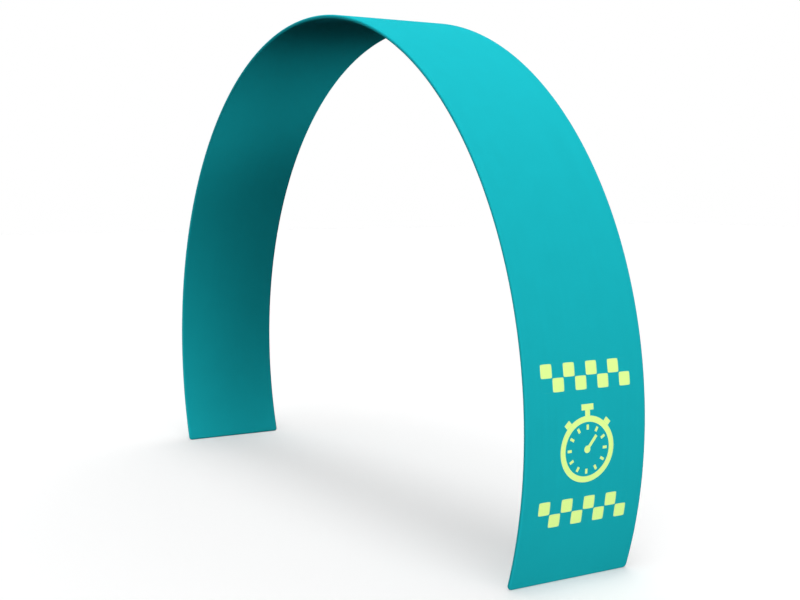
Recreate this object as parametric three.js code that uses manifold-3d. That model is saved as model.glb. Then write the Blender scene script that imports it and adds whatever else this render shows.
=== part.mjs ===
// Walk-through arch display stand: a stretch-fabric cover pulled over a frame of bent tubes.
// Millimetres, +Z up. The origin is on the floor under the middle of the arch: +X runs across
// the passage towards the right leg, and +Y is the way through it, from front to back.
import * as THREE from "three";
import { mergeVertices } from "three/addons/utils/BufferGeometryUtils.js";
import Module from "manifold-3d";

// ---- Driving dimensions -------------------------------------------------------------------

const ARCH_WIDTH = 3657.6; // 12 ft over the fabric, where the arch is widest
const ARCH_HEIGHT = 2438.4; // 8 ft from the floor to the top of the fabric
const ARCH_DEPTH = 609.6; // 2 ft from the front edge to the back edge

const TUBE_DIAMETER = 15;
const FABRIC_THICKNESS = 1;
const FABRIC_EASE = 0.6; // between a tube and the fabric that wraps it
const PIECE_GAP = 0.3; // between two pieces that meet
const ELBOW_RADIUS = 10; // centreline of the tight elbows at both ends of a foot bar

const STATION_STEP = THREE.MathUtils.degToRad(3.75); // facets of the arch
const WHOLE_STATIONS = 28; // whole steps from the crown down to the foot bars' upper ends
const JOINT_STATION = 14; // the hoops' middle joints, and the side spreaders
const ELBOW_STEPS = 4; // facets of a foot bar's elbow
const TUBE_SIDES = 12;
const INNER_RIM_ANGLES = [180, 150, 120, 90].map(THREE.MathUtils.degToRad);

// ---- Sizes that follow --------------------------------------------------------------------

const TUBE_RADIUS = TUBE_DIAMETER / 2;
const EDGE_RADIUS = TUBE_RADIUS + FABRIC_EASE + FABRIC_THICKNESS; // rounded edge of the cover
const ARC_RADIUS = ARCH_WIDTH / 2 - EDGE_RADIUS; // circle through the tubes' centres
const ARC_CENTRE_HEIGHT = ARCH_HEIGHT - ARCH_WIDTH / 2;
const HOOP_SIDE = ARCH_DEPTH / 2 - EDGE_RADIUS; // a hoop's centreline from the middle plane

// Below the arc each leg runs straight on for the elbow and the rounded edge. LEG_TILT is how far
// it leans in there, so that the edge just comes down to the floor.
const STRAIGHT_RUN = ELBOW_RADIUS + EDGE_RADIUS;
const LEG_TILT = Math.asin(ARC_CENTRE_HEIGHT / Math.hypot(ARC_RADIUS, STRAIGHT_RUN))
  - Math.atan2(STRAIGHT_RUN, ARC_RADIUS);
const ARC_RUN = ARC_RADIUS * (Math.PI / 2 + LEG_TILT); // from the crown to the end of the arc
const STATION_RUN = ARC_RADIUS * STATION_STEP;

// The outer panel's last rim facet is as wide as twice the tilt, which lays it flat on the floor.
const FLOOR_FACET_START = Math.PI / 2 - 2 * LEG_TILT;
const OUTER_RIM_ANGLES = [0, FLOOR_FACET_START / 2, FLOOR_FACET_START, Math.PI / 2];

// ---- The band: the arch's middle surface, unrolled flat -------------------------------------
// run: length along the band from the crown, positive towards the right leg
// side: distance from the middle plane, positive towards the back
// lift: height off the middle surface, positive away from the passage

function bandAngle(run) {
  return THREE.MathUtils.clamp(run, -ARC_RUN, ARC_RUN) / ARC_RADIUS;
}

function bandPoint(run, side, lift) {
  const angle = bandAngle(run);
  const straight = run - angle * ARC_RADIUS;
  const radius = ARC_RADIUS + lift;
  return new THREE.Vector3(
    radius * Math.sin(angle) + straight * Math.cos(angle),
    side,
    ARC_CENTRE_HEIGHT + radius * Math.cos(angle) - straight * Math.sin(angle),
  );
}

function bandDirection(run, alongPart, sidePart) {
  const angle = bandAngle(run);
  return new THREE.Vector3(alongPart * Math.cos(angle), sidePart, -alongPart * Math.sin(angle));
}

function arcRuns() {
  const runs = [-ARC_RUN];
  for (let station = -WHOLE_STATIONS; station <= WHOLE_STATIONS; station += 1) {
    runs.push(station * STATION_RUN);
  }
  runs.push(ARC_RUN);
  return runs;
}

// Stops round one elbow at a foot, from the hoop (turn 90 degrees) to the foot bar (turn 0).
function elbowStops(end) {
  const stops = [];
  for (let step = 0; step <= ELBOW_STEPS; step += 1) {
    const turn = (1 - step / ELBOW_STEPS) * Math.PI / 2;
    stops.push({
      run: end * (ARC_RUN + ELBOW_RADIUS * Math.cos(turn)),
      side: HOOP_SIDE - ELBOW_RADIUS * (1 - Math.sin(turn)),
      outAlong: end * Math.cos(turn),
      outSide: Math.sin(turn),
    });
  }
  return stops;
}

// The back half of the line of tube centres, from the left foot over the arch to the right foot.
function backEdgeStops() {
  const arch = arcRuns().map((run) => ({ run, side: HOOP_SIDE, outAlong: 0, outSide: 1 }));
  const left = elbowStops(-1).reverse().slice(0, -1);
  const right = elbowStops(1).slice(1);
  return [...left, ...arch, ...right];
}

// ---- Fabric panels --------------------------------------------------------------------------

// Closed loop of points: the line of tube centres, moved out and up by one point of the rim.
function rimLoop(rim) {
  const back = backEdgeStops().map((stop) => (
    { run: stop.run + rim.out * stop.outAlong, side: stop.side + rim.out * stop.outSide }
  ));
  const front = back.map((stop) => ({ run: stop.run, side: -stop.side })).reverse();
  return [...back, ...front].map((stop) => bandPoint(stop.run, stop.side, rim.lift));
}

// The rim's section, from the face of the panel round to the seam, which lies at seamLift.
function rimSection(radius, angles, seamLift) {
  const section = angles.map((angle) => (
    { out: radius * Math.sin(angle), lift: radius * Math.cos(angle) }
  ));
  const [before, last] = section.slice(-2);
  const share = (seamLift - before.lift) / (last.lift - before.lift);
  last.out = THREE.MathUtils.lerp(before.out, last.out, share);
  last.lift = seamLift;
  return section;
}

// Solid through a row of loops with the same number of points. Its two ends are closed by
// joining each loop's first half to its second half, point by point.
function loftGeometry(loops) {
  const size = loops[0].length;
  const positions = loops.flat().flatMap((point) => point.toArray());
  const triangles = [];
  const addQuad = (a, b, c, d) => triangles.push(a, b, c, a, c, d);

  for (let row = 0; row < loops.length - 1; row += 1) {
    for (let i = 0; i < size; i += 1) {
      const next = (i + 1) % size;
      const here = row * size;
      addQuad(here + i, here + next, here + size + next, here + size + i);
    }
  }
  const lastLoop = (loops.length - 1) * size;
  for (let i = 0; i < size / 2 - 1; i += 1) {
    const across = size - 1 - i;
    addQuad(i, across, across - 1, i + 1);
    addQuad(lastLoop + i, lastLoop + i + 1, lastLoop + across - 1, lastLoop + across);
  }

  const geometry = new THREE.BufferGeometry();
  geometry.setAttribute("position", new THREE.Float32BufferAttribute(positions, 3));
  geometry.setIndex(triangles);
  geometry.computeVertexNormals();
  return geometry;
}

// One sewn panel: its face skin from the middle out to the seam, and its tube side skin back.
function panelGeometry(angles, seamLift) {
  const faceSkin = rimSection(EDGE_RADIUS, angles, seamLift);
  const tubeSkin = rimSection(EDGE_RADIUS - FABRIC_THICKNESS, angles, seamLift);
  const sections = seamLift > 0
    ? [...faceSkin, ...tubeSkin.reverse()]
    : [...tubeSkin, ...faceSkin.reverse()];
  return loftGeometry(sections.map(rimLoop));
}

// ---- Tubes ------------------------------------------------------------------------------------

// A path given by its stops, each with a point and a tangent, for a tube with mitred facets.
class TubeLine extends THREE.Curve {
  constructor(stops) {
    super();
    this.stops = stops;
  }

  stopAt(share) {
    return this.stops[Math.round(share * (this.stops.length - 1))];
  }

  getPointAt(share, target = new THREE.Vector3()) {
    return target.copy(this.stopAt(share).point);
  }

  getTangentAt(share, target = new THREE.Vector3()) {
    return target.copy(this.stopAt(share).tangent);
  }
}

function tubeGeometry(stops, radius) {
  const corners = [];
  for (let i = 0; i < TUBE_SIDES; i += 1) {
    const turn = i * 2 * Math.PI / TUBE_SIDES;
    corners.push(new THREE.Vector2(radius * Math.cos(turn), radius * Math.sin(turn)));
  }
  return new THREE.ExtrudeGeometry(new THREE.Shape(corners), {
    steps: stops.length - 1,
    extrudePath: new TubeLine(stops),
  });
}

// Stops along a hoop between two stations; trim shortens both ends.
function hoopStops(firstStation, lastStation, side, trim) {
  const stops = [];
  for (let station = firstStation; station <= lastStation; station += 1) {
    let run = station * STATION_RUN;
    if (station === firstStation) run += trim;
    if (station === lastStation) run -= trim;
    stops.push({ point: bandPoint(run, side, 0), tangent: bandDirection(run, 1, 0) });
  }
  return stops;
}

// Stops of a foot bar: down the back of the leg, across under it, and up the front.
function footBarStops(end) {
  const upperEnd = { run: end * (WHOLE_STATIONS * STATION_RUN + PIECE_GAP / 2), side: HOOP_SIDE,
    outAlong: 0, outSide: 1 };
  const back = [upperEnd, ...elbowStops(end)];
  const toStop = (stop, mirror) => ({
    point: bandPoint(stop.run, mirror * stop.side, 0),
    tangent: bandDirection(stop.run, mirror * end * stop.outSide, -end * stop.outAlong),
  });
  return [
    ...back.map((stop) => toStop(stop, 1)),
    ...back.map((stop) => toStop(stop, -1)).reverse(),
  ];
}

// ---- Booleans -----------------------------------------------------------------------------------

const wasm = await Module();
wasm.setup();

function toSolid(geometry) {
  const bare = geometry.clone();
  bare.deleteAttribute("normal");
  bare.deleteAttribute("uv");
  const merged = mergeVertices(bare);
  return new wasm.Manifold(new wasm.Mesh({
    numProp: 3,
    vertProperties: merged.attributes.position.array,
    triVerts: Uint32Array.from(merged.index.array),
  }));
}

function toGeometry(solid) {
  const mesh = solid.getMesh();
  const geometry = new THREE.BufferGeometry();
  geometry.setAttribute("position", new THREE.BufferAttribute(mesh.vertProperties, mesh.numProp));
  geometry.setIndex(new THREE.BufferAttribute(mesh.triVerts, 1));
  geometry.computeVertexNormals();
  return geometry;
}

// A cross tube at one station, its ends hollowed to fit round both hoops.
function spreaderGeometry(station) {
  const run = station * STATION_RUN;
  const bar = new THREE.CylinderGeometry(TUBE_RADIUS, TUBE_RADIUS, 2 * HOOP_SIDE, TUBE_SIDES);
  const centre = bandPoint(run, 0, 0);
  bar.rotateY(bandAngle(run));
  bar.translate(centre.x, centre.y, centre.z);
  const hoopRoom = (side) => toSolid(
    tubeGeometry(hoopStops(station - 1, station + 1, side, 0), TUBE_RADIUS + PIECE_GAP),
  );
  const solid = toSolid(bar).subtract(hoopRoom(HOOP_SIDE)).subtract(hoopRoom(-HOOP_SIDE));
  return toGeometry(solid);
}

// ---- Pieces ---------------------------------------------------------------------------------------

function fabricMaterial() {
  return new THREE.MeshStandardMaterial({ color: 0x1dc4d0, roughness: 0.8, metalness: 0 });
}

function tubeMaterial() {
  return new THREE.MeshStandardMaterial({ color: 0xb4b8bc, roughness: 0.35, metalness: 0.9 });
}

function addPiece(group, name, geometry, material) {
  const mesh = new THREE.Mesh(geometry, material);
  mesh.name = name;
  group.add(mesh);
}

function coverGroup() {
  const group = new THREE.Group();
  const outer = panelGeometry(OUTER_RIM_ANGLES, PIECE_GAP / 2);
  const inner = panelGeometry(INNER_RIM_ANGLES, -PIECE_GAP / 2);
  addPiece(group, "outer_panel", outer, fabricMaterial());
  addPiece(group, "inner_panel", inner, fabricMaterial());
  return group;
}

function frameGroup() {
  const group = new THREE.Group();
  const lengths = {
    left_leg: [-WHOLE_STATIONS, -JOINT_STATION],
    left_shoulder: [-JOINT_STATION, 0],
    right_shoulder: [0, JOINT_STATION],
    right_leg: [JOINT_STATION, WHOLE_STATIONS],
  };
  for (const [face, side] of [["front", -HOOP_SIDE], ["back", HOOP_SIDE]]) {
    for (const [place, [first, last]] of Object.entries(lengths)) {
      const stops = hoopStops(first, last, side, PIECE_GAP / 2);
      addPiece(group, `hoop_${face}_${place}`, tubeGeometry(stops, TUBE_RADIUS), tubeMaterial());
    }
  }
  for (const [place, end] of [["left", -1], ["right", 1]]) {
    const bar = tubeGeometry(footBarStops(end), TUBE_RADIUS);
    addPiece(group, `foot_bar_${place}`, bar, tubeMaterial());
  }
  const stations = { crown: 0, left: -JOINT_STATION, right: JOINT_STATION };
  for (const [place, station] of Object.entries(stations)) {
    addPiece(group, `spreader_${place}`, spreaderGeometry(station), tubeMaterial());
  }
  return group;
}

const arch = new THREE.Group();
arch.add(coverGroup(), frameGroup());

export default arch;
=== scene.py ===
# %% [markdown]
# # A walk-through fabric arch
#
# The real stand is a slim frame of bent tubes with a stretch-fabric cover pulled over it like a
# pillowcase. The frame is already built to size, so it is loaded first and never changed. This
# script makes what is seen: the two fabric panels of the cover, their knit and their print, and
# then the floor, the light and the camera.

# %% Load the frame
import math

import bmesh
import bpy
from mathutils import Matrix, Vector


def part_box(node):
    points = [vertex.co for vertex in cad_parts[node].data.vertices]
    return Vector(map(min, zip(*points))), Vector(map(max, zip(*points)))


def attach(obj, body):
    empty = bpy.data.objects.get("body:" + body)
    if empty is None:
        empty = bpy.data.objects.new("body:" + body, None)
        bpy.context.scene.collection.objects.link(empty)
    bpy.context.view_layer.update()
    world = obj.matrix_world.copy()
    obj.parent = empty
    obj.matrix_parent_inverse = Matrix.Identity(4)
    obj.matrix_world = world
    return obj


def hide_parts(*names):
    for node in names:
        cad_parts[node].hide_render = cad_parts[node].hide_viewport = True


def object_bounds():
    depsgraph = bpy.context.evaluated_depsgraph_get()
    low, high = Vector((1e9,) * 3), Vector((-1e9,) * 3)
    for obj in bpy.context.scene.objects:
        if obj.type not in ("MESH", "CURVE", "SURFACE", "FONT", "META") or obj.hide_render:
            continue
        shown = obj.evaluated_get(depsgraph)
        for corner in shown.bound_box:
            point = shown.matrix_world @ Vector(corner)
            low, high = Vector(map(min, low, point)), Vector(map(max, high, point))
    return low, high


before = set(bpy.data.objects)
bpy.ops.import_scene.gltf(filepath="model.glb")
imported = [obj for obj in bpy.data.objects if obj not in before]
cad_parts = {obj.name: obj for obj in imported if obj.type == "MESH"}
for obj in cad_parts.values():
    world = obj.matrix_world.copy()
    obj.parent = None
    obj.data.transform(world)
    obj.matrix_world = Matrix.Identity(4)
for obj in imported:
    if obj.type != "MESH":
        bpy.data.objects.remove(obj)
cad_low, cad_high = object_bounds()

print("frame:", len(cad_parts), "nodes,", [round(side, 3) for side in cad_high - cad_low], "m")

# %% [markdown]
# ## Sizes that come from the frame
#
# The main sizes are measured on the frame instead of being typed in again, so the cover follows it.
# A hoop tube gives the tube's radius and how far it stands from the middle plane. Only the elbows'
# radius and the cloth's own sizes are given here. The cover's edge is a half circle round the
# tube: the tube, a little ease and the cloth itself.

# %% Measure the tubes and the cover's edge
MILLIMETRE = 0.001
CLOTH_THICKNESS = 1.0 * MILLIMETRE
CLOTH_EASE = 0.6 * MILLIMETRE  # between a tube and the cloth that wraps it
SEAM_GAP = 0.05 * MILLIMETRE  # between the two panels where they are sewn
ELBOW_RADIUS = 10 * MILLIMETRE  # elbows at both ends of a foot bar, on the centreline

hoop_low, hoop_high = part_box("hoop_back_left_shoulder")
TUBE_RADIUS = (hoop_high.y - hoop_low.y) / 2
HOOP_SIDE = (hoop_high.y + hoop_low.y) / 2
EDGE_RADIUS = TUBE_RADIUS + CLOTH_EASE + CLOTH_THICKNESS

print(f"tube {2000 * TUBE_RADIUS:.1f} mm across, cover's edge {2000 * EDGE_RADIUS:.1f} mm thick")

# %% [markdown]
# The arch is an arc of one circle down to its feet, where a short straight piece follows for the
# elbows of the foot bar. Its slope is chosen so that the rounded edge just comes down to the floor.

# %% Work out the arc
ARC_RADIUS = (cad_high.x - cad_low.x) / 2 - EDGE_RADIUS
ARC_CENTRE_HEIGHT = cad_high.z - (cad_high.x - cad_low.x) / 2
STRAIGHT_RUN = ELBOW_RADIUS + EDGE_RADIUS
LEG_TILT = (math.asin(ARC_CENTRE_HEIGHT / math.hypot(ARC_RADIUS, STRAIGHT_RUN))
            - math.atan2(STRAIGHT_RUN, ARC_RADIUS))
ARC_RUN = ARC_RADIUS * (math.pi / 2 + LEG_TILT)  # from the crown to the end of the arc
SEAM_RUN = ARC_RUN + STRAIGHT_RUN  # from the crown to the seam under a foot

print(f"arc radius {ARC_RADIUS:.4f} m, {2 * SEAM_RUN:.3f} m from seam to seam over the crown")

# %% [markdown]
# ## The camera
#
# It stands to the right of the arch and a little in front, at head height, and looks at the right
# leg's outer face with the passage behind it. It is placed by an azimuth and an elevation round
# a point inside the arch, which is easier to think about than three rotations.

# %% Place the camera
CAMERA_TARGET = Vector((0.3795, 0.0, 1.0390))
CAMERA_AZIMUTH = math.radians(59.111)
CAMERA_ELEVATION = math.radians(5.081)
CAMERA_DISTANCE = 6.0556
CAMERA_LENS = 55.111  # focal length in millimetres

camera_data = bpy.data.cameras.new("camera")
camera_data.lens = CAMERA_LENS
camera = bpy.data.objects.new("camera", camera_data)
bpy.context.scene.collection.objects.link(camera)
camera_back = Vector((
    math.sin(CAMERA_AZIMUTH) * math.cos(CAMERA_ELEVATION),
    -math.cos(CAMERA_AZIMUTH) * math.cos(CAMERA_ELEVATION),
    math.sin(CAMERA_ELEVATION),
))
camera.location = CAMERA_TARGET + camera_back * CAMERA_DISTANCE
camera.rotation_euler = (-camera_back).to_track_quat("-Z", "Y").to_euler()
bpy.context.scene.camera = camera
bpy.context.scene.view_settings.view_transform = "Standard"

print("camera at", [round(part, 2) for part in camera.location], "m")

# %% [markdown]
# ## The cover, cut flat
#
# A sewer starts from a flat cut, and so does this mesh: a long rectangle with rounded corners. It
# lies in band coordinates. X is the run along the band from the crown, Y the distance from the
# middle plane and Z the lift away from the line of tube centres. Starting flat keeps every
# operation simple, and the flat places are also the cloth's own pattern map.

# %% Cut a panel
CORNER_SEGMENTS = 8


def cut_panel():
    """A flat rectangle out to the seam, with its four corners rounded."""
    panel = bmesh.new()
    bmesh.ops.create_grid(panel, x_segments=1, y_segments=1, size=1)
    half_sizes = (SEAM_RUN, HOOP_SIDE + EDGE_RADIUS, 1)
    bmesh.ops.scale(panel, vec=half_sizes, verts=panel.verts)
    bmesh.ops.bevel(
        panel, geom=panel.verts[:], offset=ELBOW_RADIUS + EDGE_RADIUS, offset_type="OFFSET",
        segments=CORNER_SEGMENTS, profile=0.5, affect="VERTICES", material=-1,
    )
    return panel


# %% [markdown]
# The cover's edge is a quarter circle on each panel, from its face round to the seam in the middle
# of the edge. The flat cut gets a skirt by extrusion, and a bevel rounds the corner between them.
# What hangs below the seam is then cut off, which leaves a shallow lid with a soft rim.

# %% Round a panel's edge
SKIRT = 2 * MILLIMETRE  # spare wall under the seam, for the bevel to end on
RIM_SEGMENTS = 8


def everything(mesh):
    return mesh.verts[:] + mesh.edges[:] + mesh.faces[:]


def round_rim(panel):
    """Turns the flat cut into a lid whose rim runs down to the seam."""
    bmesh.ops.translate(panel, vec=(0, 0, -SKIRT), verts=panel.verts)
    raised = bmesh.ops.extrude_face_region(panel, geom=panel.faces[:])["geom"]
    raised_verts = [part for part in raised if isinstance(part, bmesh.types.BMVert)]
    bmesh.ops.translate(panel, vec=(0, 0, SKIRT + EDGE_RADIUS), verts=raised_verts)
    top = next(part for part in raised if isinstance(part, bmesh.types.BMFace))
    bmesh.ops.bevel(
        panel, geom=list(top.edges), offset=EDGE_RADIUS, offset_type="OFFSET",
        segments=RIM_SEGMENTS, profile=0.5, affect="EDGES", material=-1,
    )
    bmesh.ops.bisect_plane(
        panel, geom=everything(panel), plane_co=(0, 0, SEAM_GAP / 2), plane_no=(0, 0, 1),
        clear_inner=True,
    )


# %% [markdown]
# A flat face can't bend, so the panel is sliced: many times across, for the arch, and a few times
# along. Two of the long slices lie close inside the rim. They keep the face's shading flat right
# up to where the edge begins to turn. Thin slices round the seam give its groove a soft section.

# %% Slice a panel for bending
SLICE_STEP = 20 * MILLIMETRE
CROSS_SLICES = round(2 * ARC_RUN / SLICE_STEP)
LONG_SLICES = 8
RIM_GUARD = 4 * MILLIMETRE
SEAM_SLICES = (0.5 * MILLIMETRE, 1.0 * MILLIMETRE)  # heights over the seam plane


def slice_panel(panel, axis, places):
    """Cuts the panel through at each place on one axis."""
    direction = Vector((0, 0, 0))
    direction[axis] = 1
    for place in places:
        bmesh.ops.bisect_plane(
            panel, geom=everything(panel), plane_co=direction * place, plane_no=direction,
        )


def even_places(half_length, count):
    return [half_length * (2 * step / count - 1) for step in range(count + 1)]


def slice_for_bending(panel):
    slice_panel(panel, 2, SEAM_SLICES)
    slice_panel(panel, 0, even_places(ARC_RUN, CROSS_SLICES))
    slice_panel(panel, 1, even_places(HOOP_SIDE - ELBOW_RADIUS, LONG_SLICES))
    slice_panel(panel, 1, (RIM_GUARD - HOOP_SIDE, HOOP_SIDE - RIM_GUARD))


print("slices:", CROSS_SLICES, "across and", LONG_SLICES, "along")

# %% [markdown]
# ## The cloth map
#
# The knit and the print have to follow the cloth round the rim, so every corner of the mesh gets
# its place on the flat cut in metres. On the face that is simply X and Y. On the rim the length
# of the arc counts, as if it were rolled out flat. The same sum tells how far a point is from the
# seam, which is kept as an attribute for the seam's groove and its tiny puckers.

# %% Measure places on the cloth
RIM_WIDTH = EDGE_RADIUS * math.pi / 2  # a quarter circle of cloth, from the face to the seam


def nearest_core(point):
    """The nearest point of the rectangle inside the four corners' rounding."""
    core_side = HOOP_SIDE - ELBOW_RADIUS
    return Vector((
        min(max(point.x, -ARC_RUN), ARC_RUN),
        min(max(point.y, -core_side), core_side),
        0,
    ))


def cloth_place(point):
    """(place on the flat cloth, distance from the seam along the cloth) of a point of the lid."""
    core = nearest_core(point)
    offset = Vector((point.x, point.y, 0)) - core
    outward = offset.length - ELBOW_RADIUS
    if outward <= 0:
        return Vector((point.x, point.y, 0)), RIM_WIDTH - outward
    turn = math.atan2(outward, point.z)
    unrolled = ELBOW_RADIUS + EDGE_RADIUS * turn
    return core + offset.normalized() * unrolled, RIM_WIDTH - EDGE_RADIUS * turn


def map_cloth(panel):
    pattern = panel.loops.layers.uv.new("cloth")
    seam = panel.verts.layers.float.new("seam_distance")
    for vert in panel.verts:
        place, distance = cloth_place(vert.co)
        vert[seam] = distance
        for loop in vert.link_loops:
            loop[pattern].uv = (place.y, place.x)


print(f"the rim takes {1000 * RIM_WIDTH:.1f} mm of cloth on each panel")

# %% [markdown]
# ## The seam's groove
#
# The two panels are sewn face to face and turned right side out, so no stitches show. What shows
# is a fine groove in the middle of the edge, where the cloth dips in to the seam. Each point near
# the seam moves in towards the tube, along a soft curve.

# %% Press the groove
GROOVE_DEPTH = 0.5 * MILLIMETRE
GROOVE_REACH = 1.6 * MILLIMETRE  # from the seam to where the dip has faded out


def press_groove(panel):
    seam = panel.verts.layers.float["seam_distance"]
    for vert in panel.verts:
        share = 1 - vert[seam] / GROOVE_REACH
        if share > 0:
            inward = nearest_core(vert.co) - Vector((vert.co.x, vert.co.y, 0))
            vert.co += inward.normalized() * GROOVE_DEPTH * share * share


# %% [markdown]
# ## Bending the band
#
# One formula bends the flat band into the arch: the run becomes an angle on the arc, and the lift
# is added to the arc's radius. Past the arc's end the leg goes straight on. Where the edge meets
# the floor it is pressed flat, as cloth that carries a stand is.

# %% Bend a panel over the arch
FLOOR_CLEARANCE = 0.05 * MILLIMETRE


def band_point(run, side, lift):
    angle = min(max(run, -ARC_RUN), ARC_RUN) / ARC_RADIUS
    straight = run - angle * ARC_RADIUS
    radius = ARC_RADIUS + lift
    return Vector((
        radius * math.sin(angle) + straight * math.cos(angle),
        side,
        ARC_CENTRE_HEIGHT + radius * math.cos(angle) - straight * math.sin(angle),
    ))


def bend_panel(panel):
    for vert in panel.verts:
        vert.co = band_point(vert.co.x, vert.co.y, vert.co.z)
        vert.co.z = max(vert.co.z, FLOOR_CLEARANCE)


crown_height = band_point(0, 0, EDGE_RADIUS).z
seam_spread = 2 * band_point(SEAM_RUN, 0, 0).x
print(f"crown {crown_height:.4f} m high, seams under the feet {seam_spread:.4f} m apart")

# %% [markdown]
# ## Both covers
#
# The outer panel lies on the outside of the hoops and the inner panel on the passage side. They
# share one pattern: the inner one is the same lid turned over before it is bent. Its face stands
# half a millimetre further off the tubes, because the tubes run straight between their bends and
# come that much closer to the passage. A Solidify modifier gives the cloth its thickness, inwards.

# %% Make the two panels
INNER_LIFT = 1 + 0.5 * MILLIMETRE / EDGE_RADIUS


def cover_mesh(name, lift_scale):
    panel = cut_panel()
    round_rim(panel)
    slice_for_bending(panel)
    map_cloth(panel)
    press_groove(panel)
    bmesh.ops.recalc_face_normals(panel, faces=panel.faces[:])
    face = max(panel.faces, key=lambda piece: piece.calc_area())
    if face.normal.z * lift_scale < 0:
        bmesh.ops.reverse_faces(panel, faces=panel.faces[:])
    bmesh.ops.scale(panel, vec=(1, 1, lift_scale), verts=panel.verts)
    bend_panel(panel)
    mesh = bpy.data.meshes.new(name)
    panel.to_mesh(mesh)
    panel.free()
    mesh.shade_smooth()
    return mesh


def make_cover(name, lift_scale):
    cover = bpy.data.objects.new(name, cover_mesh(name, lift_scale))
    bpy.context.scene.collection.objects.link(cover)
    thickness = cover.modifiers.new("cloth thickness", "SOLIDIFY")
    thickness.thickness = CLOTH_THICKNESS
    thickness.offset = -1
    thickness.use_even_offset = True
    print(name, len(cover.data.polygons), "faces before thickness")
    return cover


outer_cover = make_cover("outer_cover", 1)
inner_cover = make_cover("inner_cover", -INNER_LIFT)

# %% [markdown]
# ## A short way to write nodes
#
# The patterns below are sums over the cloth's place, and each sum is a Math node. This little
# helper adds a node and fills or links its inputs in one call, so that a pattern reads like the
# formula that it is.

# %% Node helper
class Nodes:
    """Adds linked nodes to one node tree."""

    def __init__(self, tree):
        self.tree = tree

    def add(self, kind, inputs=(), **settings):
        node = self.tree.nodes.new(kind)
        for name, value in settings.items():
            setattr(node, name, value)
        for place, value in dict(inputs).items():
            self.fill(node.inputs[place], value)
        return node

    def fill(self, socket, value):
        if isinstance(value, bpy.types.NodeSocket):
            self.tree.links.new(value, socket)
        else:
            socket.default_value = value

    def math(self, operation, *values, clamp=False):
        node = self.add("ShaderNodeMath", enumerate(values), operation=operation)
        node.use_clamp = clamp
        return node.outputs[0]

    def split(self, vector):
        return self.add("ShaderNodeSeparateXYZ", {0: vector}).outputs

    def join(self, x, y):
        return self.add("ShaderNodeCombineXYZ", {0: x, 1: y}).outputs[0]


def new_group(name, inputs, outputs):
    """An empty shader node group, with its input sockets, its output node and a helper."""
    group = bpy.data.node_groups.new(name, "ShaderNodeTree")
    for socket_name, (kind, value) in inputs.items():
        socket = group.interface.new_socket(socket_name, in_out="INPUT", socket_type=kind)
        socket.default_value = value
    for socket_name in outputs:
        group.interface.new_socket(socket_name, in_out="OUTPUT", socket_type="NodeSocketFloat")
    nodes = Nodes(group)
    entry = nodes.add("NodeGroupInput").outputs
    result = nodes.add("NodeGroupOutput").inputs
    return group, nodes, entry, result


# %% [markdown]
# ## The knit
#
# Display fabric is a fine stretch knit. Columns of loops, the wales, run along the cloth, and each
# loop is a small V. It could be modelled loop by loop, but there are millions of loops, so sums
# over the cloth's place draw them instead. A row of ridges gives the wales, and a wave that leans
# both ways from the middle of each wale gives the V. A painted shade makes the valleys between the
# loops a little darker and their tops a little lighter. Two soft noises add what dyeing and
# stretching leave: a slight mottle, and long faint streaks along the pull.

# %% Knit group
WALE_WIDTH = 1.1 * MILLIMETRE
COURSE_HEIGHT = 0.8 * MILLIMETRE
LOOP_DIP = 0.5  # how far a wale dips between two loops, as a share of its height
# painted shade: a valley between loops is darkened, and a loop's top lightened, by this share
VALLEY_PAINTED_SHADE = 0.12  # how much darker a valley is than the cloth's mean
DYE_SHADE = 0.06  # how far the dye's strength wanders
MOTTLES_PER_METRE = 9
STREAKS_PER_METRE = (60, 1.5)  # across the cloth and along it


def make_knit_group():
    group, nodes, entry, result = new_group(
        "stretch_knit",
        {
            "Cloth": ("NodeSocketVector", (0, 0, 0)),
            "Wale Width": ("NodeSocketFloat", WALE_WIDTH),
            "Course Height": ("NodeSocketFloat", COURSE_HEIGHT),
        },
        ("Height", "Dye And Painted Shade"),
    )
    across, along, _ = nodes.split(entry["Cloth"])
    wale = nodes.math("DIVIDE", across, entry["Wale Width"])
    middle = nodes.math("SUBTRACT", nodes.math("FRACT", wale), 0.5)
    lean = nodes.math("ABSOLUTE", middle)
    ridge = nodes.math("SUBTRACT", 1, nodes.math("MULTIPLY", nodes.math("POWER", lean, 2), 4))
    course = nodes.math("ADD", nodes.math("DIVIDE", along, entry["Course Height"]), lean)
    loops = nodes.math("SINE", nodes.math("MULTIPLY", course, 2 * math.pi))
    loop_height = nodes.math("MULTIPLY_ADD", loops, LOOP_DIP / 2, 1 - LOOP_DIP / 2)
    height = nodes.math("MULTIPLY", ridge, loop_height)
    nodes.fill(result["Height"], height)
    mottle = nodes.add(
        "ShaderNodeTexNoise",
        {"Vector": entry["Cloth"], "Scale": MOTTLES_PER_METRE, "Detail": 3},
    )
    streak_place = nodes.join(
        nodes.math("MULTIPLY", across, STREAKS_PER_METRE[0]),
        nodes.math("MULTIPLY", along, STREAKS_PER_METRE[1]),
    )
    streak = nodes.add("ShaderNodeTexNoise", {"Vector": streak_place, "Scale": 1, "Detail": 2})
    both = nodes.math("ADD", mottle.outputs[0], streak.outputs[0])
    dyed = nodes.math("MULTIPLY_ADD", both, DYE_SHADE, 1 - DYE_SHADE)
    # painted shade in the colour: darker in the valleys between the loops, lighter on their tops
    valley_painted_shade = nodes.math("MULTIPLY_ADD", height, 2 * VALLEY_PAINTED_SHADE, 1 - VALLEY_PAINTED_SHADE)
    # the output is the dye's real mottle and streaks times the painted valley shade
    nodes.fill(result["Dye And Painted Shade"], nodes.math("MULTIPLY", dyed, valley_painted_shade))
    return group


knit_group = make_knit_group()
print("knit group:", len(knit_group.nodes), "nodes")

# %% [markdown]
# ## The seam's puckers
#
# Thread always gathers stretchy cloth a little. Beside the seam the surface gets small puckers,
# which fade out within a finger's width. They come from the seam distance stored on the mesh.

# %% Pucker group
PUCKER_REACH = 13 * MILLIMETRE
PUCKERS_PER_METRE = 140


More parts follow.
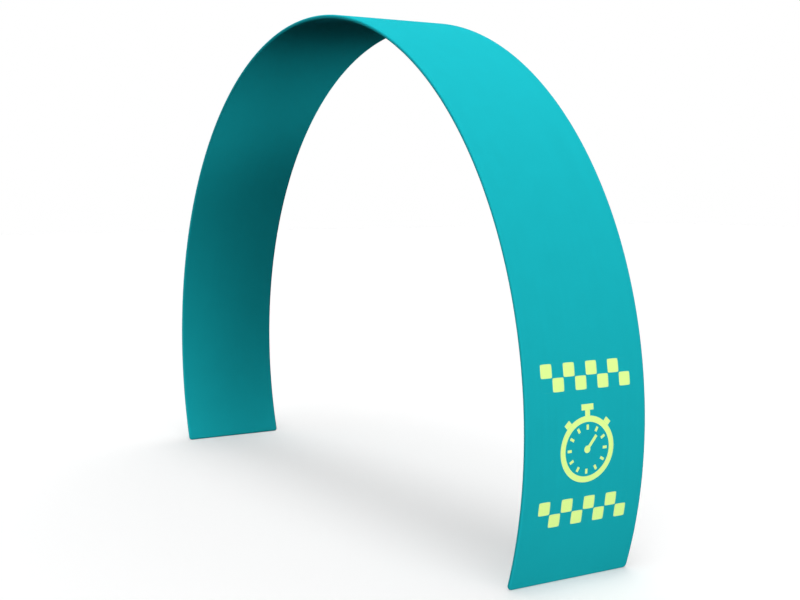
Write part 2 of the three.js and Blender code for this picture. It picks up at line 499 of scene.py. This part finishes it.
def make_pucker_group():
    group, nodes, entry, result = new_group(
        "seam_puckers",
        {
            "Cloth": ("NodeSocketVector", (0, 0, 0)),
            "Seam Distance": ("NodeSocketFloat", 1.0),
        },
        ("Height",),
    )
    near = nodes.math(
        "SUBTRACT", 1, nodes.math("DIVIDE", entry["Seam Distance"], PUCKER_REACH), clamp=True,
    )
    puckers = nodes.add(
        "ShaderNodeTexNoise",
        {"Vector": entry["Cloth"], "Scale": PUCKERS_PER_METRE, "Detail": 1},
    )
    nodes.fill(result["Height"], nodes.math("MULTIPLY", near, puckers.outputs[0]))
    return group


pucker_group = make_pucker_group()
print("pucker group:", len(pucker_group.nodes), "nodes")

# %% [markdown]
# ## The print
#
# The outer panel carries a lime print low on the right leg. It is a generic one for any fun run: a
# plain stopwatch between two checkered bands. Each shape is a distance sum, negative inside and
# positive outside, and the smallest of several distances joins their shapes. The last step turns
# the distance into ink with a soft edge as wide as dye spreads in the yarn.

# %% Shapes for the print
INK_EDGE = 0.8 * MILLIMETRE


def box_distance(nodes, x, y, half_width, half_height):
    """Distance to a box round the origin, good enough near its sides."""
    beside = nodes.math("SUBTRACT", nodes.math("ABSOLUTE", x), half_width)
    above = nodes.math("SUBTRACT", nodes.math("ABSOLUTE", y), half_height)
    return nodes.math("MAXIMUM", beside, above)


def turned(nodes, x, y, angle):
    """The same place seen from axes turned clockwise by an angle."""
    cosine = math.cos(angle)
    sine = math.sin(angle)
    new_x = nodes.math(
        "SUBTRACT", nodes.math("MULTIPLY", x, cosine), nodes.math("MULTIPLY", y, sine),
    )
    new_y = nodes.math("ADD", nodes.math("MULTIPLY", x, sine), nodes.math("MULTIPLY", y, cosine))
    return new_x, new_y


def joined(nodes, distances):
    shape = distances[0]
    for distance in distances[1:]:
        shape = nodes.math("MINIMUM", shape, distance)
    return shape


def inked(nodes, distance):
    scaled = nodes.math("DIVIDE", distance, INK_EDGE)
    return nodes.math("SUBTRACT", 0.5, scaled, clamp=True)


# %% [markdown]
# The dial is a ring with twelve marks, one hand and a round hub. On top sits the winding crown,
# with a push button at either side of it. Apart from the ring and the hub they are all bars that
# point away from the dial's centre, so a small table holds them. The marks need only one bar: the
# angle wraps round twelve times, so the bar repeats.

# %% The stopwatch
WATCH_RADIUS = 0.122  # to the middle of the dial's ring
WATCH_HEIGHT = 0.567  # centre of the dial over the leg's lower end
RING_WIDTH = 0.024
HUB_RADIUS = 0.015
MARK_COUNT = 12
HAND_TURN = math.radians(40)
BUTTON_TURN = math.radians(43)
BARS = {
    # name: (distance from the dial's centre to the bar's, width, length), all in metres
    "mark": (0.089, 0.011, 0.020),
    "hand": (0.029, 0.013, 0.080),
    "stem": (0.144, 0.024, 0.028),
    "crown": (0.169, 0.060, 0.024),
    "button": (0.144, 0.030, 0.020),
}


def bar(nodes, name, x, y):
    distance, width, length = BARS[name]
    return box_distance(nodes, x, nodes.math("SUBTRACT", y, distance), width / 2, length / 2)


def stopwatch(nodes, x, y):
    radius = nodes.math("SQRT", nodes.math(
        "ADD", nodes.math("MULTIPLY", x, x), nodes.math("MULTIPLY", y, y),
    ))
    off_ring = nodes.math("ABSOLUTE", nodes.math("SUBTRACT", radius, WATCH_RADIUS))
    ring = nodes.math("SUBTRACT", off_ring, RING_WIDTH / 2)
    hub = nodes.math("SUBTRACT", radius, HUB_RADIUS)
    half_step = math.pi / MARK_COUNT
    angle = nodes.math("WRAP", nodes.math("ARCTAN2", x, y), half_step, -half_step)
    beside = nodes.math("MULTIPLY", radius, nodes.math("SINE", angle))
    shapes = [
        ring,
        hub,
        bar(nodes, "mark", beside, radius),
        bar(nodes, "hand", *turned(nodes, x, y, HAND_TURN)),
        bar(nodes, "stem", x, y),
        bar(nodes, "crown", x, y),
        bar(nodes, "button", *turned(nodes, x, y, -BUTTON_TURN)),
        bar(nodes, "button", *turned(nodes, x, y, BUTTON_TURN)),
    ]
    return joined(nodes, shapes)


print(f"stopwatch {2 * WATCH_RADIUS + RING_WIDTH:.3f} m across its ring")

# %% [markdown]
# A checkered band is the sign of two sine waves multiplied, cut off by a box. Divided by their
# slope, the waves measure metres near the lines, so the squares' edges are as soft as the rest.
# Each square keeps half an edge inside its lines, so nothing smears where four squares meet.

# %% The checkered bands and the print group
CHECK_SIDE = 0.056
CHECK_COLUMNS = 8
CHECK_HEIGHTS = (0.318, 0.862)  # middle lines of the bands over the leg's lower end


def checkered_ink(nodes, x, y):
    waves = [
        nodes.math("SINE", nodes.math("MULTIPLY", part, math.pi / CHECK_SIDE)) for part in (x, y)
    ]
    product = nodes.math("MULTIPLY", *waves)
    squares = inked(
        nodes, nodes.math("MULTIPLY_ADD", product, -CHECK_SIDE / math.pi, INK_EDGE / 2),
    )
    band = inked(
        nodes, box_distance(nodes, x, y, CHECK_COLUMNS / 2 * CHECK_SIDE, CHECK_SIDE),
    )
    return nodes.math("MULTIPLY", squares, band)


def make_print_group():
    group, nodes, entry, result = new_group(
        "fun_run_print", {"Cloth": ("NodeSocketVector", (0, 0, 0))}, ("Ink",),
    )
    across, along, _ = nodes.split(entry["Cloth"])
    height = nodes.math("SUBTRACT", SEAM_RUN, along)
    watch_height = nodes.math("SUBTRACT", height, WATCH_HEIGHT)
    ink = inked(nodes, stopwatch(nodes, across, watch_height))
    for middle in CHECK_HEIGHTS:
        band = checkered_ink(nodes, across, nodes.math("SUBTRACT", height, middle))
        ink = nodes.math("MAXIMUM", ink, band)
    nodes.fill(result["Ink"], ink)
    return group


print_group = make_print_group()
print("print group:", len(print_group.nodes), "nodes")

# %% [markdown]
# ## The fabric's colours
#
# The yarn is dyed teal right through, and the print is a lime dye for sportswear. Such a lime is
# slightly fluorescent: it turns light that can't be seen into green, so it looks brighter than any
# plain paint. A plain colour can't do that, so a faint glow is painted on where there is ink: light
# of its own that shines whatever the lamps do.

# %% Dye and ink
TEAL = (0.012, 0.555, 0.63, 1)
LIME = (0.80, 1.0, 0.27, 1)
# painted light: the ink's glow, which shines though the print is no lamp
LIME_GLOW = (0.62, 1.0, 0.42, 1)
GLOW_STRENGTH = 0.3
NO_GLOW = (0, 0, 0, 1)


def mixed(nodes, share, first, second):
    """The first colour where the share is 0, and the second where it is 1."""
    # the first sockets are for numbers and vectors: colours go in at 6 and 7 and come out at 2
    mix = nodes.add("ShaderNodeMix", {0: share, 6: first, 7: second}, data_type="RGBA")
    return mix.outputs[2]


def print_on(nodes, shader, cloth):
    """The printed cloth's colour. It also gives the shader the ink's painted glow."""
    ink = nodes.add("ShaderNodeGroup", {"Cloth": cloth}, node_tree=print_group).outputs["Ink"]
    # painted glow: where there is ink the cloth gives off light of its own
    nodes.fill(shader.inputs["Emission Color"], mixed(nodes, ink, NO_GLOW, LIME_GLOW))
    shader.inputs["Emission Strength"].default_value = GLOW_STRENGTH
    return mixed(nodes, ink, TEAL, LIME)


# %% [markdown]
# ## The fabric materials
#
# Both panels are the same knit: matt, with hardly any shine and a faint sheen from the polyester
# yarn, which has the dye's colour too. The knit and the puckers are two bumps, one laid on the
# other. Only the outer panel has the print. The knit's dye mottle and its painted valley shade
# change cloth and ink alike, the mottle because the dye sits in the yarn.

# %% Build the fabric materials
KNIT_BUMP = 0.15 * MILLIMETRE
PUCKER_BUMP = 0.8 * MILLIMETRE
BUMP_STRENGTH = 0.5
CLOTH_ROUGHNESS = 0.8
CLOTH_SHINE = 0.01
CLOTH_SHEEN = 0.02


def cloth_normal(nodes, cloth, knit_height):
    """The surface's direction with the knit's loops and the seam's puckers pressed into it."""
    seam = nodes.add("ShaderNodeAttribute", attribute_name="seam_distance").outputs["Fac"]
    puckers = nodes.add(
        "ShaderNodeGroup", {"Cloth": cloth, "Seam Distance": seam}, node_tree=pucker_group,
    )
    loops = nodes.add("ShaderNodeBump", {
        "Height": knit_height, "Strength": BUMP_STRENGTH, "Distance": KNIT_BUMP,
    })
    gathered = nodes.add("ShaderNodeBump", {
        "Height": puckers.outputs["Height"], "Strength": BUMP_STRENGTH, "Distance": PUCKER_BUMP,
        "Normal": loops.outputs[0],
    })
    return gathered.outputs[0]


def make_fabric(name, printed):
    material = bpy.data.materials.new(name)
    material.use_nodes = True
    nodes = Nodes(material.node_tree)
    shader = material.node_tree.nodes["Principled BSDF"]
    cloth = nodes.add("ShaderNodeUVMap", uv_map="cloth").outputs[0]
    knit = nodes.add("ShaderNodeGroup", {"Cloth": cloth}, node_tree=knit_group).outputs
    colour = print_on(nodes, shader, cloth) if printed else TEAL[:3]
    # the colour times the dye's mottle and the knit's painted shade in the valleys between loops
    colour_with_painted_shade = nodes.add(
        "ShaderNodeVectorMath", {0: colour, "Scale": knit["Dye And Painted Shade"]}, operation="SCALE",
    )
    nodes.fill(shader.inputs["Base Color"], colour_with_painted_shade.outputs[0])
    nodes.fill(shader.inputs["Normal"], cloth_normal(nodes, cloth, knit["Height"]))
    shader.inputs["Roughness"].default_value = CLOTH_ROUGHNESS
    shader.inputs["Specular IOR Level"].default_value = CLOTH_SHINE
    shader.inputs["Sheen Weight"].default_value = CLOTH_SHEEN
    shader.inputs["Sheen Tint"].default_value = TEAL
    print(name, len(nodes.tree.nodes), "nodes")
    return material


outer_cover.data.materials.append(make_fabric("printed_knit", printed=True))
inner_cover.data.materials.append(make_fabric("plain_knit", printed=False))

# %% [markdown]
# ## The tubes' finish
#
# The frame's tubes are drawn aluminium with a satin finish. The fabric hides them all, but they
# still get the finish that a buyer would find under the cover: fine scuffs that change the
# roughness, and a very low grain in the bump.

# %% Tube material
ALUMINIUM = (0.60, 0.61, 0.62, 1)
DRAWN_ROUGHNESS = 0.25
SCUFF_ROUGHNESS = 0.2  # added where the scuffs are thickest
SCUFF_CLOUDS_PER_METRE = 25
GRAINS_PER_METRE = 400.0
GRAIN_BUMP = 0.05 * MILLIMETRE
GRAIN_STRENGTH = 0.2


def make_scuff_group():
    group, nodes, entry, result = new_group(
        "drawn_scuffs",
        {
            "Place": ("NodeSocketVector", (0, 0, 0)),
            "Scale": ("NodeSocketFloat", GRAINS_PER_METRE),
        },
        ("Scuffs", "Grain"),
    )
    grain = nodes.add("ShaderNodeTexNoise", {"Vector": entry["Place"], "Scale": entry["Scale"]})
    cloudy = nodes.add(
        "ShaderNodeTexNoise",
        {"Vector": entry["Place"], "Scale": SCUFF_CLOUDS_PER_METRE, "Detail": 4},
    )
    scuffs = nodes.math("MULTIPLY_ADD", cloudy.outputs[0], SCUFF_ROUGHNESS, DRAWN_ROUGHNESS)
    nodes.fill(result["Grain"], grain.outputs[0])
    nodes.fill(result["Scuffs"], scuffs)
    return group


def make_tube_metal():
    material = bpy.data.materials.new("satin_aluminium")
    material.use_nodes = True
    nodes = Nodes(material.node_tree)
    shader = material.node_tree.nodes["Principled BSDF"]
    place = nodes.add("ShaderNodeTexCoord").outputs["Object"]
    scuffs = nodes.add("ShaderNodeGroup", {"Place": place}, node_tree=make_scuff_group()).outputs
    bump = nodes.add("ShaderNodeBump", {
        "Height": scuffs["Grain"], "Strength": GRAIN_STRENGTH, "Distance": GRAIN_BUMP,
    })
    nodes.fill(shader.inputs["Normal"], bump.outputs[0])
    nodes.fill(shader.inputs["Roughness"], scuffs["Scuffs"])
    shader.inputs["Base Color"].default_value = ALUMINIUM
    shader.inputs["Metallic"].default_value = 1
    return material


tube_metal = make_tube_metal()
covered = ("outer_panel", "inner_panel")
tubes = [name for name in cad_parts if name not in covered]
for name in tubes:
    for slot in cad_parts[name].material_slots:
        slot.material = tube_metal
print("metal on", len(tubes), "tubes")

# %% [markdown]
# ## Fixing the covers to the frame
#
# Each cover rides on the frame's one body and takes the place of its plain solid.


for cover, node, slot_name, lift in (
    (outer_cover, "outer_panel", "fabric_outer", EDGE_RADIUS),
    (inner_cover, "inner_panel", "fabric_inner", -EDGE_RADIUS),
):
    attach(cover, "root")
    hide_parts(node)

# %% [markdown]
# ## The floor
#
# The stand is shown on a plain white floor. Most of its white is paint, which takes the stand's
# shadow. The rest is a glow, so the shadow stays as pale as in a bright studio. A white floor would
# also light the cloth from below. This one is hidden from the rays that leave a matt surface, so it
# gives the cloth nothing and the underside of the crown stays deep. It casts no shadow either,
# because the low lamps reach a little under its level.

# %% Floor
FLOOR_SIZE = 80
FLOOR_DROP = 0.2 * MILLIMETRE
FLOOR_TONE = 0.63
FLOOR_GLOW = 0.37


def make_floor():
    shape = bmesh.new()
    bmesh.ops.create_grid(shape, x_segments=1, y_segments=1, size=FLOOR_SIZE / 2)
    bmesh.ops.translate(shape, vec=(0, 0, -FLOOR_DROP), verts=shape.verts)
    mesh = bpy.data.meshes.new("floor")
    shape.to_mesh(mesh)
    shape.free()
    material = bpy.data.materials.new("floor")
    material.use_nodes = True
    shader = material.node_tree.nodes["Principled BSDF"]
    shader.inputs["Base Color"].default_value = (FLOOR_TONE, FLOOR_TONE, FLOOR_TONE, 1)
    shader.inputs["Emission Color"].default_value = (1, 1, 1, 1)
    shader.inputs["Emission Strength"].default_value = FLOOR_GLOW
    shader.inputs["Roughness"].default_value = 1
    shader.inputs["Specular IOR Level"].default_value = 0
    mesh.materials.append(material)
    floor = bpy.data.objects.new("floor", mesh)
    floor.visible_diffuse = False
    floor.visible_shadow = False
    bpy.context.scene.collection.objects.link(floor)


make_floor()
print("floor:", FLOOR_SIZE, "m square")

# %% [markdown]
# ## The light
#
# Broad suns do most of the work. Suns light the whole floor evenly, so it stays white out to the
# horizon, and a wide angle makes their shadows soft. Two wide ones stand high up, to the right and
# behind, and light the outer face. A narrower one overhead draws the band of shadow between the
# feet. Three low ones, almost level with the floor, light the rims and reach the inner faces
# through the ends of the passage. The crown's underside faces straight down, so they leave it in
# the dark. The world is white to look at and gives no light.

# %% World and suns
SUNS = (
    # name, azimuth and elevation in degrees, angle across in degrees, level
    ("overhead", 0, 90, 20, 0.153),
    ("high_right", 60, 68, 40, 0.474),
    ("high_back", 225, 68, 50, 0.432),
    ("low_front", 35, 4, 16, 0.316),
    ("low_right", 85, 5, 12, 0.1),
    ("low_left", 280, 0, 24, 0.18),
)


def seen_directly(nodes):
    """1 for what the camera sees, straight or in a reflection or through glass, and else 0."""
    rays = nodes.add("ShaderNodeLightPath").outputs
    first = nodes.math("MAXIMUM", rays["Is Camera Ray"], rays["Is Glossy Ray"])
    return nodes.math("MAXIMUM", first, rays["Is Transmission Ray"])


def make_world():
    world = bpy.data.worlds.new("studio")
    world.use_nodes = True
    bpy.context.scene.world = world
    nodes = Nodes(world.node_tree)
    background = world.node_tree.nodes["Background"]
    nodes.fill(background.inputs["Strength"], seen_directly(nodes))
    background.inputs["Color"].default_value = (1, 1, 1, 1)


def add_lamp(lamp, place, towards):
    """Adds a lamp at a place, shining towards a point."""
    holder = bpy.data.objects.new(lamp.name, lamp)
    holder.location = place
    holder.rotation_euler = (Vector(towards) - Vector(place)).to_track_quat("-Z", "Y").to_euler()
    holder.visible_camera = False
    bpy.context.scene.collection.objects.link(holder)


def make_sun(name, azimuth, elevation, angle, level):
    """A broad sun. At level 1 it alone shows a surface that faces it in its written colour."""
    lamp = bpy.data.lights.new(name, "SUN")
    lamp.angle = math.radians(angle)
    lamp.energy = level * math.pi
    turn = math.radians(azimuth)
    height = math.radians(elevation)
    place = Vector((
        math.sin(turn) * math.cos(height), -math.cos(turn) * math.cos(height), math.sin(height),
    ))
    add_lamp(lamp, place, (0, 0, 0))


make_world()
for sun_values in SUNS:
    make_sun(*sun_values)
print("suns:", ", ".join(values[0] for values in SUNS))

# %% [markdown]
# Two places need light of their own. The near leg leans in towards its foot, away from the light
# above. A low soft box beside it makes up for that, with a small one under the level of the floor
# for the foot itself. Neither is large, so the leg shades the underside of the crown from most of
# their light. The far shoulder's inner face looks down at the floor, and any broad light that is
# low enough to reach it would light the leg below it more. A spot with a soft rim, aimed through
# the passage from behind, lights it alone.

# %% Soft boxes and a spot
LEG_BOX = {
    "place": (4.0, 0.0, 0.3), "aim": (1.8, 0.0, 0.1), "width": 1.0, "height": 0.6, "watts": 11.9,
}
FOOT_BOX = {
    "place": (2.4, 0.0, -0.3), "aim": (1.65, 0.0, 0.0), "width": 0.6, "height": 0.3, "watts": 0.5,
}
SHOULDER_SPOT = {
    "place": (1.48, 6.57, 1.94), "aim": (-0.91, 0.0, 2.19), "cone": 13, "radius": 0.3,
    "watts": 1343,
}


def make_soft_box(name, place, aim, width, height, watts):
    lamp = bpy.data.lights.new(name, "AREA")
    lamp.shape = "RECTANGLE"
    lamp.size = width
    lamp.size_y = height
    lamp.energy = watts
    add_lamp(lamp, place, aim)


def make_spot(name, place, aim, cone, radius, watts):
    """A spot whose light fades from the middle of its cone, given in degrees, to its rim."""
    lamp = bpy.data.lights.new(name, "SPOT")
    lamp.spot_size = math.radians(cone)
    lamp.spot_blend = 1
    lamp.shadow_soft_size = radius
    lamp.energy = watts
    add_lamp(lamp, place, aim)


make_soft_box("leg_box", **LEG_BOX)
make_soft_box("foot_box", **FOOT_BOX)
make_spot("shoulder_spot", **SHOULDER_SPOT)
print("near lamps:", ", ".join(lamp.name for lamp in bpy.data.lights if lamp.type != "SUN"))
